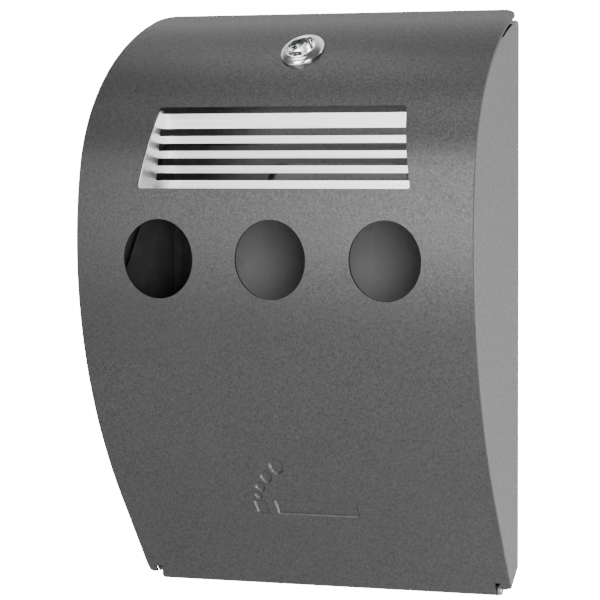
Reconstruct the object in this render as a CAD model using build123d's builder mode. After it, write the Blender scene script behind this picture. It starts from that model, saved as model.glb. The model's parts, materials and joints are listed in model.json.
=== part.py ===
from build123d import *
from math import atan2, cos, degrees, radians, sin, sqrt
import os

os.makedirs("parts", exist_ok=True)

# ---------------------------------------------------------------- named sizes
# Millimetres. X runs right, the wall is Y = 0, the cover faces -Y, Z is up.
# Z = 0 is the middle of the four wall screws. "Depth" is distance from the wall.

# curved front cover
cover_width = 220.0      # across the widest, most bulging part
cover_sheet = 1.2
cover_foot_z = -145.0    # lower corners of the cover
foot_depth = 16.65       # outer face of the cover at its lower corners
foot_rise = 46.0         # length of the straight lower part
foot_lean = 30.0         # degrees the lower part leans out
belly_radius = 260.0     # big curve of the front
belly_end_lean = -8.0    # where the big curve meets the shoulder
shoulder_radius = 92.0
shoulder_end_lean = -67.0
brow_length = 12.7       # straight top strip running back to the wall
side_flare = 0.135       # sideways growth per mm of depth, cover and housing alike
brow_corner_radius = 8.5
foot_corner_radius = 2.5
brow_margin = 0.05

# three round mouths for cigarette ends
mouth_radius = 19.6
mouth_spacing = 63.0
mouth_z = 15.8

# stub-out window and the stainless grille behind it
window_low_z = 50.5
window_high_z = 90.5
window_half_low = 76.0
window_half_high = 68.8
window_corner_radius = 1.6
grille_sheet = 0.8
grille_inset = 0.3       # jambs stand this far inside the window's edge
grille_low_recess = 19.2 # the grille's face lies this far behind the cover at its lower edge
grille_high_recess = 5.1 # and at its upper edge
grille_top_gap = 3.2     # open strip between the grille's top edge and the window's
slot_height = 3.6
slot_pitch = 7.3
slot_rise = 3.9          # from the window's lower edge to the lowest slot
slot_count = 4
slot_end_reach = 1.5     # each slot runs this far past the window's sides
slot_wrap = 1.2          # how far each slot runs round the fold into the jamb
grille_flange = 9.0

# pressed-in pictogram: a cigarette and four puffs of smoke
press_depth = 0.6
press_wall = 0.4
cigarette_box = (-16.0, 29.3, -110.6, -104.1)
ember_box = (-27.8, -21.6, -110.5, -104.5)
puffs = ((-24.6, -101.5, 1.7), (-22.3, -97.1, 2.2), (-17.5, -91.9, 2.8), (-10.5, -86.4, 3.6))

# housing: back wrap and two side panels
housing_sheet = 1.0
cover_overhang = 1.745    # the cover stands out this far past each side panel
cover_gap = 0.8           # between cover and housing
brow_cap = 5.37           # the cover's top edge stands this far above the housing
heel_rise = 9.7           # from the cover's foot up to where the sloping floor meets the wall
floor_slope = 43.1        # degrees the floor drops towards the hinge
flange_width = 8.0
flange_bend = 3.5         # outside bend radius of the side panels' front flanges
flange_foot_gap = 8.0     # bare edge below the side panels' flanges
flange_top_gap = 8.8      # and above them
brow_flange_drop = 5.5    # height of the back wrap's folded front edge
brow_relief = 3.1         # extra set-back of the side panel above its flange
back_bend = 3.0
wall_pad = 5.0            # clear sizes for cutting tools that must pass right through
far = 150.0

# wall screws
screw_spacing_x = 140.0
screw_spacing_z = 200.0
screw_hole_radius = 2.75

# bottom hinge
rod_radius = 1.5
hinge_clearance = 0.05
hinge_drop = 2.25         # from the cover's foot down to the curl
hinge_inset = 4.0         # the curl stops this far inside the side panels
lug_gap = 0.3
lug_thickness = 1.0
lug_radius = 2.6
rod_overhang = 0.5
curl_wrap_gap = 75.0      # degrees left open in the curl
curl_lap = 3.0            # the curl's tab runs this far up behind the foot's edge
lug_notch_width = 3.4
lug_notch_height = 3.2
leaf_sheet = 1.2
leaf_back = 3.0           # from the wall along the floor to the leaf
leaf_front = 12.6
floor_front = 13.2

# lock
lock_drop = 19.87         # below the cover's top edge
lock_head_radius = 11.5
lock_head_rise = 3.0
lock_head_round = 0.6     # share of its rise that is rounded
lock_body_radius = 9.0
lock_hole_clearance = 0.15
lock_body_length = 14.0
key_well_radius = 7.2
key_well_depth = 3.0
plug_radius = 6.0
plug_clearance = 0.05
key_post_radius = 4.7
key_post_rise = 1.6       # triangular post above the cover's face
nut_across = 22.0
nut_thickness = 5.0
nut_seat_gap = 0.85       # flat washer inside the cover's curve
washer_thickness = 0.6
washer_radius = 12.0
tail_square = 7.0
cam_gap = 0.2
cam_thickness = 2.0
cam_width = 14.0
cam_reach = 24.0
cam_screw_radius = 2.0
cam_screw_head = 3.5
cam_screw_head_height = 2.4
cam_screw_hole = 4.0      # depth of its hole in the plug
cam_screw_grip = 3.0      # how far it goes in
cross_slot = 0.9
cross_reach = 2.45
cam_washer_radius = 5.0
cam_washer_thickness = 0.8
strike_sheet = 1.5
strike_width = 24.0
strike_depth_in = 12.0    # below the cover's face, measured square to it
strike_knee_run = 5.5     # slope between its top leaf and its tab

# ash liner
liner_sheet = 0.8
liner_side_gap = 3.7      # inside the side panels' outer faces at the wall
liner_back_depth = 4.5
liner_back_edge = 8.0     # width of the level top of its back, before it slopes to the front
liner_floor_rise = 16.0   # from the cover's foot up to the liner's floor
liner_front_inset = 6.5   # from the cover's outer face
liner_front_drop = 24.8   # from the middle of the mouths down to the liner's front edge
liner_back_rise = 56.2    # and up to its back edge
liner_lip = 5.0
grip_width = 80.0
grip_height = 22.0
grip_z = 52.0
rest_sheet = 1.2
rest_width = 30.0
rest_spacing = 110.0
rest_reach = 16.0
rest_leg = 14.0

# grille fixings
stud_radius = 2.0
stud_length = 7.0
weld_sink = 0.3           # studs and pressings run this far into the sheet they belong to
stud_hole_clearance = 0.2
stud_low_z = 56.0
stud_high_z = 84.0
stud_outset = 5.5         # outwards from the window's edge
small_washer_radius = 4.5
small_washer_thickness = 0.8
small_nut_across = 7.0
small_nut_height = 3.2
small_seat_gap = 0.12     # flat washer against the curved flange


# ---------------------------------------------------------------- front profile
def lean_normal(lean):
    return (cos(radians(lean)), -sin(radians(lean)))


def lean_along(lean):
    return (sin(radians(lean)), cos(radians(lean)))


def moved(point, direction, distance):
    return (point[0] + direction[0] * distance, point[1] + direction[1] * distance)


foot_point = (foot_depth, cover_foot_z)
belly_start = moved(foot_point, lean_along(foot_lean), foot_rise)
belly_centre = moved(belly_start, lean_normal(foot_lean), -belly_radius)
shoulder_start = moved(belly_centre, lean_normal(belly_end_lean), belly_radius)
shoulder_centre = moved(shoulder_start, lean_normal(belly_end_lean), -shoulder_radius)
brow_start = moved(shoulder_centre, lean_normal(shoulder_end_lean), shoulder_radius)
brow_end = moved(brow_start, lean_along(shoulder_end_lean), brow_length)
belly_depth = belly_centre[0] + belly_radius
cover_half_wall = cover_width / 2 - side_flare * belly_depth
slant = sqrt(1 + side_flare**2)

# what follows from the cover: housing, hinge, lock and liner
housing_half_wall = cover_half_wall - cover_overhang
housing_top_z = brow_end[1] - brow_cap
toe_z = cover_foot_z
heel_z = cover_foot_z + heel_rise
flange_low_z = cover_foot_z + flange_foot_gap
flange_high_z = housing_top_z - flange_top_gap
brow_flange_low_z = housing_top_z - brow_flange_drop
knuckle_half = housing_half_wall - hinge_inset
lock_z = brow_end[1] - lock_drop
nut_standoff = cover_sheet + nut_seat_gap
liner_half = housing_half_wall - liner_side_gap
liner_floor_z = cover_foot_z + liner_floor_rise
liner_front_top_z = mouth_z - liner_front_drop
liner_back_top_z = mouth_z + liner_back_rise
grille_top_z = window_high_z - grille_top_gap
slot_first_z = window_low_z + slot_rise


def joints_at(inset):
    """Heights where the profile's stretches meet, for a skin drawn in by inset."""
    leans = (foot_lean, belly_end_lean, shoulder_end_lean)
    starts = (belly_start, shoulder_start, brow_start)
    return [moved(p, lean_normal(a), -inset)[1] for p, a in zip(starts, leans)]


def skin_depth(z, inset=0.0):
    """Depth of the front skin at a height, drawn in square to itself by inset."""
    low, mid, high = joints_at(inset)
    if z < low:
        p = moved(foot_point, lean_normal(foot_lean), -inset)
        return p[0] + (z - p[1]) * sin(radians(foot_lean)) / cos(radians(foot_lean))
    if z < mid:
        r = belly_radius - inset
        return belly_centre[0] + sqrt(r**2 - (z - belly_centre[1]) ** 2)
    if z < high:
        r = shoulder_radius - inset
        return shoulder_centre[0] + sqrt(r**2 - (z - shoulder_centre[1]) ** 2)
    p = moved(brow_start, lean_normal(shoulder_end_lean), -inset)
    return p[0] + (z - p[1]) * sin(radians(shoulder_end_lean)) / cos(radians(shoulder_end_lean))


def skin_lean(z):
    """Lean of the outer skin in degrees at a height on one of its curves."""
    centre, r = (belly_centre, belly_radius) if z < shoulder_start[1] else (shoulder_centre, shoulder_radius)
    return -degrees(atan2(z - centre[1], sqrt(r**2 - (z - centre[1]) ** 2)))


def yz(depth, z):
    return (-depth, z)


def skin_line(inset, low, high):
    """Draw the skin from height low up to height high in the current line."""
    stops = [low] + [z for z in joints_at(inset) if low + 0.01 < z < high - 0.01] + [high]
    belly_low, belly_high, brow_low = joints_at(inset)
    for a, b in zip(stops, stops[1:]):
        middle = (a + b) / 2
        start = yz(skin_depth(a + 1e-9, inset), a)
        end = yz(skin_depth(b - 1e-9, inset), b)
        if middle < belly_low or middle > brow_low:
            Line(start, end)
        else:
            ThreePointArc(start, yz(skin_depth(middle, inset), middle), end)


def skin_layer(outer, inner, low, high, half):
    """A layer of the front skin between two insets, as a bar along X."""
    with BuildPart() as layer:
        with BuildSketch(Plane.YZ):
            with BuildLine():
                skin_line(outer, low, high)
                skin_line(inner, low, high)
                Line(yz(skin_depth(low, outer), low), yz(skin_depth(low, inner), low))
                Line(yz(skin_depth(high, outer), high), yz(skin_depth(high, inner), high))
            make_face()
        extrude(amount=half, both=True)
    return layer.part


def flared_block(half_wall, half_inner=0.0):
    """Everything between the flared side planes, or only what is outside half_inner."""
    grow = side_flare * far
    with BuildPart() as block:
        with BuildSketch(Plane.XY):
            with BuildLine():
                Polyline(
                    (half_wall, 0),
                    (half_wall + grow, -far),
                    (half_inner + (grow if half_inner else 0), -far),
                    (half_inner, 0),
                    close=True,
                )
            make_face()
            mirror(about=Plane.YZ)
        extrude(amount=2 * far, both=True)
    return block.part


def across(points, half=far):
    """A closed outline of (depth, z) points extruded both ways along X."""
    with BuildPart() as bar:
        with BuildSketch(Plane.YZ):
            with BuildLine():
                Polyline(*[yz(*p) for p in points], close=True)
            make_face()
        extrude(amount=half, both=True)
    return bar.part


def square_to_skin(x, z, inset=0.0):
    """A plane whose normal leaves the cover square to its outer face."""
    lean = skin_lean(z)
    d, h = moved((skin_depth(z), z), lean_normal(lean), -inset)
    out = lean_normal(lean)
    return Plane(origin=(x, -d, h), x_dir=(1, 0, 0), z_dir=(0, -out[0], out[1]))


# hinge axis: the curl hangs from the straight lower part of the cover
curl_inner = rod_radius + hinge_clearance
curl_outer = curl_inner + cover_sheet
curl_touch = moved(foot_point, lean_along(foot_lean), -hinge_drop)
hinge_point = moved(curl_touch, lean_normal(foot_lean), -curl_outer)

# floor of the housing: "along" runs from the wall down to the hinge, "up" is square to it
floor_along = (cos(radians(floor_slope)), -sin(radians(floor_slope)))
floor_up = (sin(radians(floor_slope)), cos(radians(floor_slope)))


def on_floor(along, up):
    return moved(moved((0.0, heel_z), floor_along, along), floor_up, up)


hinge_along = (hinge_point[0] * floor_along[0] + (hinge_point[1] - heel_z) * floor_along[1])
hinge_up = (hinge_point[0] * floor_up[0] + (hinge_point[1] - heel_z) * floor_up[1])

# ---------------------------------------------------------------- housing
housing_inset = cover_sheet + cover_gap
bend_margin = 0.8
edge_margin = 0.3
flange_zone = housing_inset + flange_bend + bend_margin   # skin layer that holds the whole front bend


def housing_block(inset, bend, top_bend):
    """The housing's envelope drawn in by inset, with its front and top bends rounded."""
    skin = housing_inset + inset
    top = housing_top_z - inset
    toe = toe_z + inset
    heel = heel_z + inset / floor_up[1] - inset * floor_up[0] / floor_up[1]
    toe_back = inset + (heel - toe) * floor_up[1] / floor_up[0]
    with BuildPart() as block:
        with BuildSketch(Plane.YZ):
            with BuildLine():
                skin_line(skin, toe, top)
                Polyline(
                    yz(skin_depth(top, skin), top),
                    yz(inset, top),
                    yz(inset, heel),
                    yz(toe_back, toe),
                    yz(skin_depth(toe, skin), toe),
                )
            make_face()
        extrude(amount=far, both=True)
        add(flared_block(housing_half_wall - inset * slant), mode=Mode.INTERSECT)
        side_faces = block.faces().sort_by(Axis.X)
        front = [
            e
            for f in (side_faces[0], side_faces[-1])
            for e in f.edges()
            if toe + edge_margin < e.center().Z < top - edge_margin and -e.center().Y > back_bend * 3
        ]
        fillet(front, bend)
        fillet(block.edges().filter_by(Axis.X).group_by(Axis.Y)[-1].sort_by(Axis.Z)[-1], top_bend)
    return block.part


envelope = housing_block(0.0, flange_bend, back_bend)
cavity = housing_block(housing_sheet, flange_bend - housing_sheet, back_bend - housing_sheet)
panel_inner_wall = housing_half_wall - housing_sheet * slant


def edge_strip(low, high):
    """The strip of the front skin, at both sides, that a bent-in flange fills."""
    with BuildPart() as strip:
        add(skin_layer(0, flange_zone, low, high, far))
        add(flared_block(far, housing_half_wall - flange_width), mode=Mode.INTERSECT)
    return strip.part


def side_panel(side):
    """One side panel: flat plate, bent-in front flange, open corner above the flange."""
    with BuildPart() as panel:
        add(flared_block(far, panel_inner_wall))
        add(edge_strip(flange_low_z, flange_high_z))
        add(envelope, mode=Mode.INTERSECT)
        add(cavity, mode=Mode.SUBTRACT)
        add(
            skin_layer(0, housing_inset + brow_relief, flange_high_z, housing_top_z - 2 * housing_sheet, far),
            mode=Mode.SUBTRACT,
        )
        with Locations((side * far, 0, 0)):
            Box(2 * far, 2 * far, 4 * far, mode=Mode.INTERSECT)
    return panel.part


with BuildPart() as side_panel_right:
    add(side_panel(1))
side_panel_right.part.label = "side_panel_right"
export_step(side_panel_right.part, "parts/side_panel_right.step")

with BuildPart() as side_panel_left:
    add(side_panel(-1))
side_panel_left.part.label = "side_panel_left"
export_step(side_panel_left.part, "parts/side_panel_left.step")

with BuildPart() as back_wrap:
    add(envelope)
    add(cavity, mode=Mode.SUBTRACT)
    add(flared_block(panel_inner_wall), mode=Mode.INTERSECT)
    add(skin_layer(0, flange_zone, toe_z - wall_pad, brow_flange_low_z, far), mode=Mode.SUBTRACT)
    add(edge_strip(brow_flange_low_z - wall_pad, housing_top_z - housing_sheet), mode=Mode.SUBTRACT)
    # the floor stops short of the hinge
    add(
        across(
            [
                on_floor(floor_front, -far),
                on_floor(far, -far),
                on_floor(far, leaf_front),
                on_floor(floor_front, leaf_front),
            ]
        ),
        mode=Mode.SUBTRACT,
    )
    with BuildSketch(Plane.XZ.offset(-wall_pad)):
        with GridLocations(screw_spacing_x, screw_spacing_z, 2, 2):
            Circle(screw_hole_radius)
    extrude(amount=2 * wall_pad, mode=Mode.SUBTRACT)
back_wrap.part.label = "back_wrap"
export_step(back_wrap.part, "parts/back_wrap.step")

# hinge leaf on the floor, with an upright lug at each end for the rod
leaf_half = knuckle_half + lug_gap + lug_thickness
with BuildPart() as hinge_leaf:
    add(
        across(
            [
                on_floor(leaf_back, housing_sheet),
                on_floor(leaf_front, housing_sheet),
                on_floor(leaf_front, housing_sheet + leaf_sheet),
                on_floor(leaf_back, housing_sheet + leaf_sheet),
            ],
            leaf_half,
        )
    )
    for side in (-1, 1):
        with BuildSketch(Plane.YZ.offset(side * (knuckle_half + lug_gap + lug_thickness / 2))):
            with BuildLine():
                Polyline(
                    yz(*on_floor(leaf_back, housing_sheet)),
                    yz(*on_floor(leaf_front, housing_sheet)),
                    yz(*on_floor(hinge_along, hinge_up)),
                    yz(*on_floor(hinge_along, hinge_up + lug_radius)),
                    yz(*on_floor(leaf_back + lug_radius, hinge_up + lug_radius)),
                    close=True,
                )
            make_face()
            with Locations(yz(*hinge_point)):
                Circle(lug_radius)
        extrude(amount=lug_thickness / 2, both=True)
    with BuildSketch(Plane.YZ):
        with Locations(yz(*hinge_point)):
            Circle(rod_radius)
    extrude(amount=far, both=True, mode=Mode.SUBTRACT)
hinge_leaf.part.label = "hinge_leaf"
export_step(hinge_leaf.part, "parts/hinge_leaf.step")

with BuildPart() as hinge_rod:
    with BuildSketch(Plane.YZ):
        with Locations(yz(*hinge_point)):
            Circle(rod_radius)
    extrude(amount=leaf_half + rod_overhang, both=True)
    fillet(hinge_rod.edges().filter_by(GeomType.CIRCLE), rod_overhang * 0.8)
hinge_rod.part.label = "hinge_rod"
export_step(hinge_rod.part, "parts/hinge_rod.step")

# strike: hangs from the housing's top, its tab parallel to the cover at the lock
lock_lean = skin_lean(lock_z)
lock_point = (skin_depth(lock_z), lock_z)
lock_out = lean_normal(lock_lean)
lock_up = lean_along(lock_lean)


def at_lock(up, inwards):
    return moved(moved(lock_point, lock_up, up), lock_out, -inwards)


strike_top = housing_top_z - housing_sheet - strike_sheet / 2
strike_knee = at_lock(cam_reach, strike_depth_in)
strike_tip = at_lock(cam_reach / 2, strike_depth_in)
with BuildPart() as strike_bracket:
    with BuildSketch(Plane.YZ):
        with BuildLine():
            Polyline(
                yz(back_bend, strike_top),
                yz(strike_knee[0] - strike_knee_run, strike_top),
                yz(*strike_knee),
                yz(*strike_tip),
            )
        trace(line_width=strike_sheet)
    extrude(amount=strike_width / 2, both=True)
strike_bracket.part.label = "strike_bracket"
export_step(strike_bracket.part, "parts/strike_bracket.step")

# two angle rests carry the liner
with BuildPart() as liner_rests:
    for x in (-rest_spacing / 2, rest_spacing / 2):
        with BuildSketch(Plane.YZ.offset(x)):
            with BuildLine():
                Polyline(
                    yz(housing_sheet, liner_floor_z - rest_sheet),
                    yz(housing_sheet + rest_reach, liner_floor_z - rest_sheet),
                    yz(housing_sheet + rest_reach, liner_floor_z),
                    yz(housing_sheet + rest_sheet, liner_floor_z),
                    yz(housing_sheet + rest_sheet, liner_floor_z + rest_leg),
                    yz(housing_sheet, liner_floor_z + rest_leg),
                    close=True,
                )
            make_face()
        extrude(amount=rest_width / 2, both=True)
liner_rests.part.label = "liner_rests"
export_step(liner_rests.part, "parts/liner_rests.step")

# ---------------------------------------------------------------- cover
brow_out = lean_normal(shoulder_end_lean)
brow_plane = Plane(
    origin=(0, -brow_end[0], brow_end[1]),
    x_dir=(1, 0, 0),
    z_dir=(0, -brow_out[0], brow_out[1]),
)
brow_half = cover_half_wall + side_flare * brow_end[0] + brow_margin
brow_reach = 4 * far
foot_half = cover_half_wall + side_flare * foot_depth


def from_hinge(out, along):
    """A point given from the hinge axis, square to the cover's straight foot and along it."""
    return yz(*moved(moved(hinge_point, lean_normal(foot_lean), out), lean_along(foot_lean), along))


# where the curl ends, behind the hinge axis
curl_end = moved(hinge_point, lean_along(foot_lean + 90 - curl_wrap_gap), 3 * curl_outer)
curl_top = hinge_drop + curl_lap


def window_half(z):
    share = (z - window_low_z) / (window_high_z - window_low_z)
    return window_half_low + share * (window_half_high - window_half_low)


def pictogram(grow, outer, inner):
    """The pressed figures, drawn larger by grow, between two insets of the skin."""
    with BuildPart() as figures:
        with BuildSketch(Plane.XZ):
            for x0, x1, z0, z1 in (cigarette_box, ember_box):
                with Locations(((x0 + x1) / 2, (z0 + z1) / 2)):
                    Rectangle(x1 - x0 + 2 * grow, z1 - z0 + 2 * grow)
            for x, z, r in puffs:
                with Locations((x, z)):
                    Circle(r + grow)
        extrude(amount=far)
        add(
            skin_layer(outer, inner, cigarette_box[2] - wall_pad, puffs[-1][1] + 2 * wall_pad, far),
            mode=Mode.INTERSECT,
        )
    return figures.part


# weld studs either side of the window hold the grille
stud_places = [
    (side * (window_half(z) + stud_outset), z) for z in (stud_low_z, stud_high_z) for side in (-1, 1)
]

with BuildPart() as front_cover:
    add(skin_layer(0, cover_sheet, cover_foot_z, brow_end[1] + cover_sheet, far))
    add(flared_block(cover_half_wall), mode=Mode.INTERSECT)
    with BuildSketch(brow_plane) as brow_outline:
        with BuildLine():
            Polyline(
                (-brow_half, 0),
                (brow_half, 0),
                (brow_half + side_flare * brow_reach, -brow_reach),
                (-brow_half - side_flare * brow_reach, -brow_reach),
                close=True,
            )
        make_face()
        fillet(brow_outline.vertices().group_by(Axis.Y)[-1], brow_corner_radius)
    extrude(amount=brow_reach, both=True, mode=Mode.INTERSECT)
    # round the two lower corners
    with BuildSketch(Plane.XZ):
        for side in (-1, 1):
            corner = (side * (foot_half - foot_corner_radius), cover_foot_z + foot_corner_radius)
            with Locations((side * foot_half, cover_foot_z)):
                Rectangle(2 * foot_corner_radius, 2 * foot_corner_radius)
            with Locations(corner):
                Circle(foot_corner_radius, mode=Mode.SUBTRACT)
    extrude(amount=foot_depth + wall_pad, mode=Mode.SUBTRACT)
    # tab below the foot, rolled round the hinge rod
    with BuildSketch(Plane.YZ):
        with Locations(yz(*hinge_point)):
            Circle(curl_outer)
        with BuildLine():
            Polyline(
                yz(*hinge_point),
                from_hinge(3 * curl_outer, 0),
                from_hinge(3 * curl_outer, 3 * curl_outer),
                yz(*curl_end),
                close=True,
            )
        make_face(mode=Mode.SUBTRACT)
        with BuildLine():
            Polyline(
                from_hinge(curl_inner, 0),
                from_hinge(curl_outer, 0),
                from_hinge(curl_outer, curl_top),
                from_hinge(curl_inner, curl_top),
                close=True,
            )
        make_face()
        with Locations(yz(*hinge_point)):
            Circle(curl_inner, mode=Mode.SUBTRACT)
    extrude(amount=knuckle_half, both=True)
    # relief beside the tab for the hinge lugs
    for side in (-1, 1):
        with Locations((side * (knuckle_half + lug_notch_width / 2), -foot_depth, cover_foot_z)):
            Box(lug_notch_width, 2 * foot_depth, 2 * lug_notch_height, mode=Mode.SUBTRACT)
    # mouths and window
    with BuildSketch(Plane.XZ.offset(belly_depth / 2)):
        with Locations((-mouth_spacing, mouth_z), (0, mouth_z), (mouth_spacing, mouth_z)):
            Circle(mouth_radius)
    extrude(amount=belly_depth, mode=Mode.SUBTRACT)
    with BuildSketch(Plane.XZ.offset(belly_depth / 2)) as window_outline:
        with BuildLine():
            Polyline(
                (-window_half_low, window_low_z),
                (window_half_low, window_low_z),
                (window_half_high, window_high_z),
                (-window_half_high, window_high_z),
                close=True,
            )
        make_face()
        fillet(window_outline.vertices(), window_corner_radius)
    extrude(amount=belly_depth, mode=Mode.SUBTRACT)
    with BuildSketch(square_to_skin(0, lock_z)):
        Circle(lock_body_radius + lock_hole_clearance)
    extrude(amount=lock_body_length, both=True, mode=Mode.SUBTRACT)
    # pictogram pressed in: the sheet is pushed inwards, hollow outside and proud inside
    add(pictogram(press_wall, cover_sheet - weld_sink, cover_sheet + press_depth))
    add(pictogram(0, -cover_sheet, press_depth), mode=Mode.SUBTRACT)
    for x, z in stud_places:
        with BuildSketch(square_to_skin(x, z, cover_sheet - weld_sink)):
            Circle(stud_radius)
        extrude(amount=-stud_length)
front_cover.part.label = "front_cover"
export_step(front_cover.part, "parts/front_cover.step")

# ---------------------------------------------------------------- grille
def window_wedge(outset, low, high):
    """A bar running in from the front with the window's sloping sides, moved outwards by outset."""
    with BuildPart() as wedge:
        with BuildSketch(Plane.XZ):
            with BuildLine():
                Polyline(
                    (window_half(low) + outset, low),
                    (window_half(high) + outset, high),
                    (-window_half(high) - outset, high),
                    (-window_half(low) - outset, low),
                    close=True,
                )
            make_face()
        extrude(amount=far)
    return wedge.part


grille_low_depth = skin_depth(window_low_z) - grille_low_recess
grille_high_depth = skin_depth(grille_top_z) - grille_high_recess
tray_low = window_low_z - grille_sheet
tray_high = window_high_z - window_corner_radius
behind = 20.0             # how deep the cutters reach behind the grille's face


def grille_depth(z):
    """Depth of the front of the grille's face."""
    share = (z - window_low_z) / (grille_top_z - window_low_z)
    return grille_low_depth + share * (grille_high_depth - grille_low_depth)


with BuildPart() as tray_box:
    add(window_wedge(grille_sheet - grille_inset, tray_low, tray_high))
    add(skin_layer(cover_sheet, grille_low_depth, tray_low, tray_high, far), mode=Mode.INTERSECT)
    add(
        across(
            [
                (grille_depth(tray_low) - grille_sheet, tray_low),
                (grille_depth(tray_high) - grille_sheet, tray_high),
                (far, tray_high),
                (far, tray_low),
            ]
        ),
        mode=Mode.INTERSECT,
    )

with BuildPart() as tray_mouth:
    add(window_wedge(-grille_inset, window_low_z, tray_high + wall_pad))

with BuildPart() as tray_hollow:
    add(tray_mouth.part)
    add(
        across(
            [
                (grille_depth(window_low_z), window_low_z),
                (grille_depth(grille_top_z), grille_top_z),
                (grille_depth(grille_top_z) - behind, grille_top_z),
                (grille_depth(grille_top_z) - behind, tray_high + wall_pad),
                (far, tray_high + wall_pad),
                (far, window_low_z),
            ]
        ),
        mode=Mode.INTERSECT,
    )

with BuildPart() as tray_flange:
    add(
        skin_layer(cover_sheet, cover_sheet + grille_sheet, window_low_z - grille_flange, tray_high, far)
    )
    add(window_wedge(grille_flange, window_low_z - grille_flange, tray_high), mode=Mode.INTERSECT)
    add(tray_mouth.part, mode=Mode.SUBTRACT)

with BuildPart() as grille_tray:
    # folded box, open to the front and above the grille's face
    add(tray_box.part)
    add(tray_hollow.part, mode=Mode.SUBTRACT)
    # flange lying on the cover's inner face, at the sides and below
    add(tray_flange.part)
    for i in range(slot_count):
        low = slot_first_z + i * slot_pitch
        add(
            across(
                [
                    (grille_depth(low) - behind, low),
                    (grille_depth(low) + slot_wrap, low),
                    (grille_depth(low + slot_height) + slot_wrap, low + slot_height),
                    (grille_depth(low) - behind, low + slot_height),
                ],
                window_half(low) + slot_end_reach,
            ),
            mode=Mode.SUBTRACT,
        )
    for x, z in stud_places:
        with BuildSketch(square_to_skin(x, z)):
            Circle(stud_radius + stud_hole_clearance)
        extrude(amount=-stud_length, mode=Mode.SUBTRACT)
grille_tray.part.label = "grille_tray"
export_step(grille_tray.part, "parts/grille_tray.step")

small_seat = cover_sheet + grille_sheet + small_seat_gap
with BuildPart() as grille_washers:
    for x, z in stud_places:
        with BuildSketch(square_to_skin(x, z, small_seat)):
            Circle(small_washer_radius)
            Circle(stud_radius + stud_hole_clearance / 2, mode=Mode.SUBTRACT)
        extrude(amount=-small_washer_thickness)
grille_washers.part.label = "grille_washers"
export_step(grille_washers.part, "parts/grille_washers.step")

with BuildPart() as grille_nuts:
    for x, z in stud_places:
        with BuildSketch(square_to_skin(x, z, small_seat + small_washer_thickness)):
            RegularPolygon(small_nut_across / 2, 6, major_radius=False)
            Circle(stud_radius, mode=Mode.SUBTRACT)
        extrude(amount=-small_nut_height)
grille_nuts.part.label = "grille_nuts"
export_step(grille_nuts.part, "parts/grille_nuts.step")

# ---------------------------------------------------------------- lock
def lock_plane(inwards):
    return square_to_skin(0, lock_z, inwards)


with BuildPart() as lock_housing:
    # domed head, its underside following the cover
    with BuildSketch(lock_plane(-lock_head_rise)):
        Circle(lock_head_radius)
    extrude(amount=-lock_head_rise - cover_sheet)
    head_rim = lock_housing.edges().filter_by(GeomType.CIRCLE).sort_by(Axis.Y)[0]
    fillet(head_rim, lock_head_rise * lock_head_round)
    with BuildSketch(Plane.YZ):
        with Locations(yz(*shoulder_centre)):
            Circle(shoulder_radius)
    extrude(amount=2 * lock_head_radius, both=True, mode=Mode.SUBTRACT)
    with BuildSketch(lock_plane(0)):
        Circle(lock_body_radius)
    extrude(amount=-lock_body_length)
    with BuildSketch(lock_plane(-lock_head_rise)):
        Circle(key_well_radius)
    extrude(amount=-lock_head_rise - key_well_depth, mode=Mode.SUBTRACT)
    with BuildSketch(lock_plane(0)):
        Circle(plug_radius + plug_clearance)
    extrude(amount=-lock_body_length, mode=Mode.SUBTRACT)
lock_housing.part.label = "lock_housing"
export_step(lock_housing.part, "parts/lock_housing.step")

with BuildPart() as lock_washer:
    with BuildSketch(lock_plane(nut_standoff)):
        Circle(washer_radius)
        Circle(lock_body_radius, mode=Mode.SUBTRACT)
    extrude(amount=-washer_thickness)
lock_washer.part.label = "lock_washer"
export_step(lock_washer.part, "parts/lock_washer.step")

with BuildPart() as lock_nut:
    with BuildSketch(lock_plane(nut_standoff + washer_thickness)):
        RegularPolygon(nut_across / 2, 6, major_radius=False)
        Circle(lock_body_radius, mode=Mode.SUBTRACT)
    extrude(amount=-nut_thickness)
lock_nut.part.label = "lock_nut"
export_step(lock_nut.part, "parts/lock_nut.step")

cam_seat = lock_body_length + cam_gap
with BuildPart() as lock_plug:
    with BuildSketch(lock_plane(key_well_depth)):
        Circle(plug_radius)
    extrude(amount=-(lock_body_length - key_well_depth))
    with BuildSketch(lock_plane(key_well_depth)):
        RegularPolygon(key_post_radius, 3, rotation=90)
    extrude(amount=key_well_depth + key_post_rise)
    with BuildSketch(lock_plane(lock_body_length)):
        Rectangle(tail_square, tail_square)
    extrude(amount=-(cam_gap + cam_thickness))
    with BuildSketch(lock_plane(lock_body_length - cam_screw_hole)):
        Circle(cam_screw_radius)
    extrude(amount=-cam_screw_hole - cam_gap - cam_thickness, mode=Mode.SUBTRACT)
lock_plug.part.label = "lock_plug"
export_step(lock_plug.part, "parts/lock_plug.step")

with BuildPart() as lock_cam:
    with BuildSketch(lock_plane(cam_seat)):
        Circle(cam_width / 2)
        with Locations((cam_reach / 2 - cam_width / 4, 0)):
            Rectangle(cam_reach - cam_width / 2, cam_width)
        with Locations((cam_reach - cam_width / 2, 0)):
            Circle(cam_width / 2)
        Rectangle(tail_square, tail_square, mode=Mode.SUBTRACT)
    extrude(amount=-cam_thickness)
lock_cam.part.label = "lock_cam"
export_step(lock_cam.part, "parts/lock_cam.step")

with BuildPart() as cam_washer:
    with BuildSketch(lock_plane(cam_seat + cam_thickness)):
        Circle(cam_washer_radius)
        Circle(cam_screw_radius, mode=Mode.SUBTRACT)
    extrude(amount=-cam_washer_thickness)
cam_washer.part.label = "cam_washer"
export_step(cam_washer.part, "parts/cam_washer.step")

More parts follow.
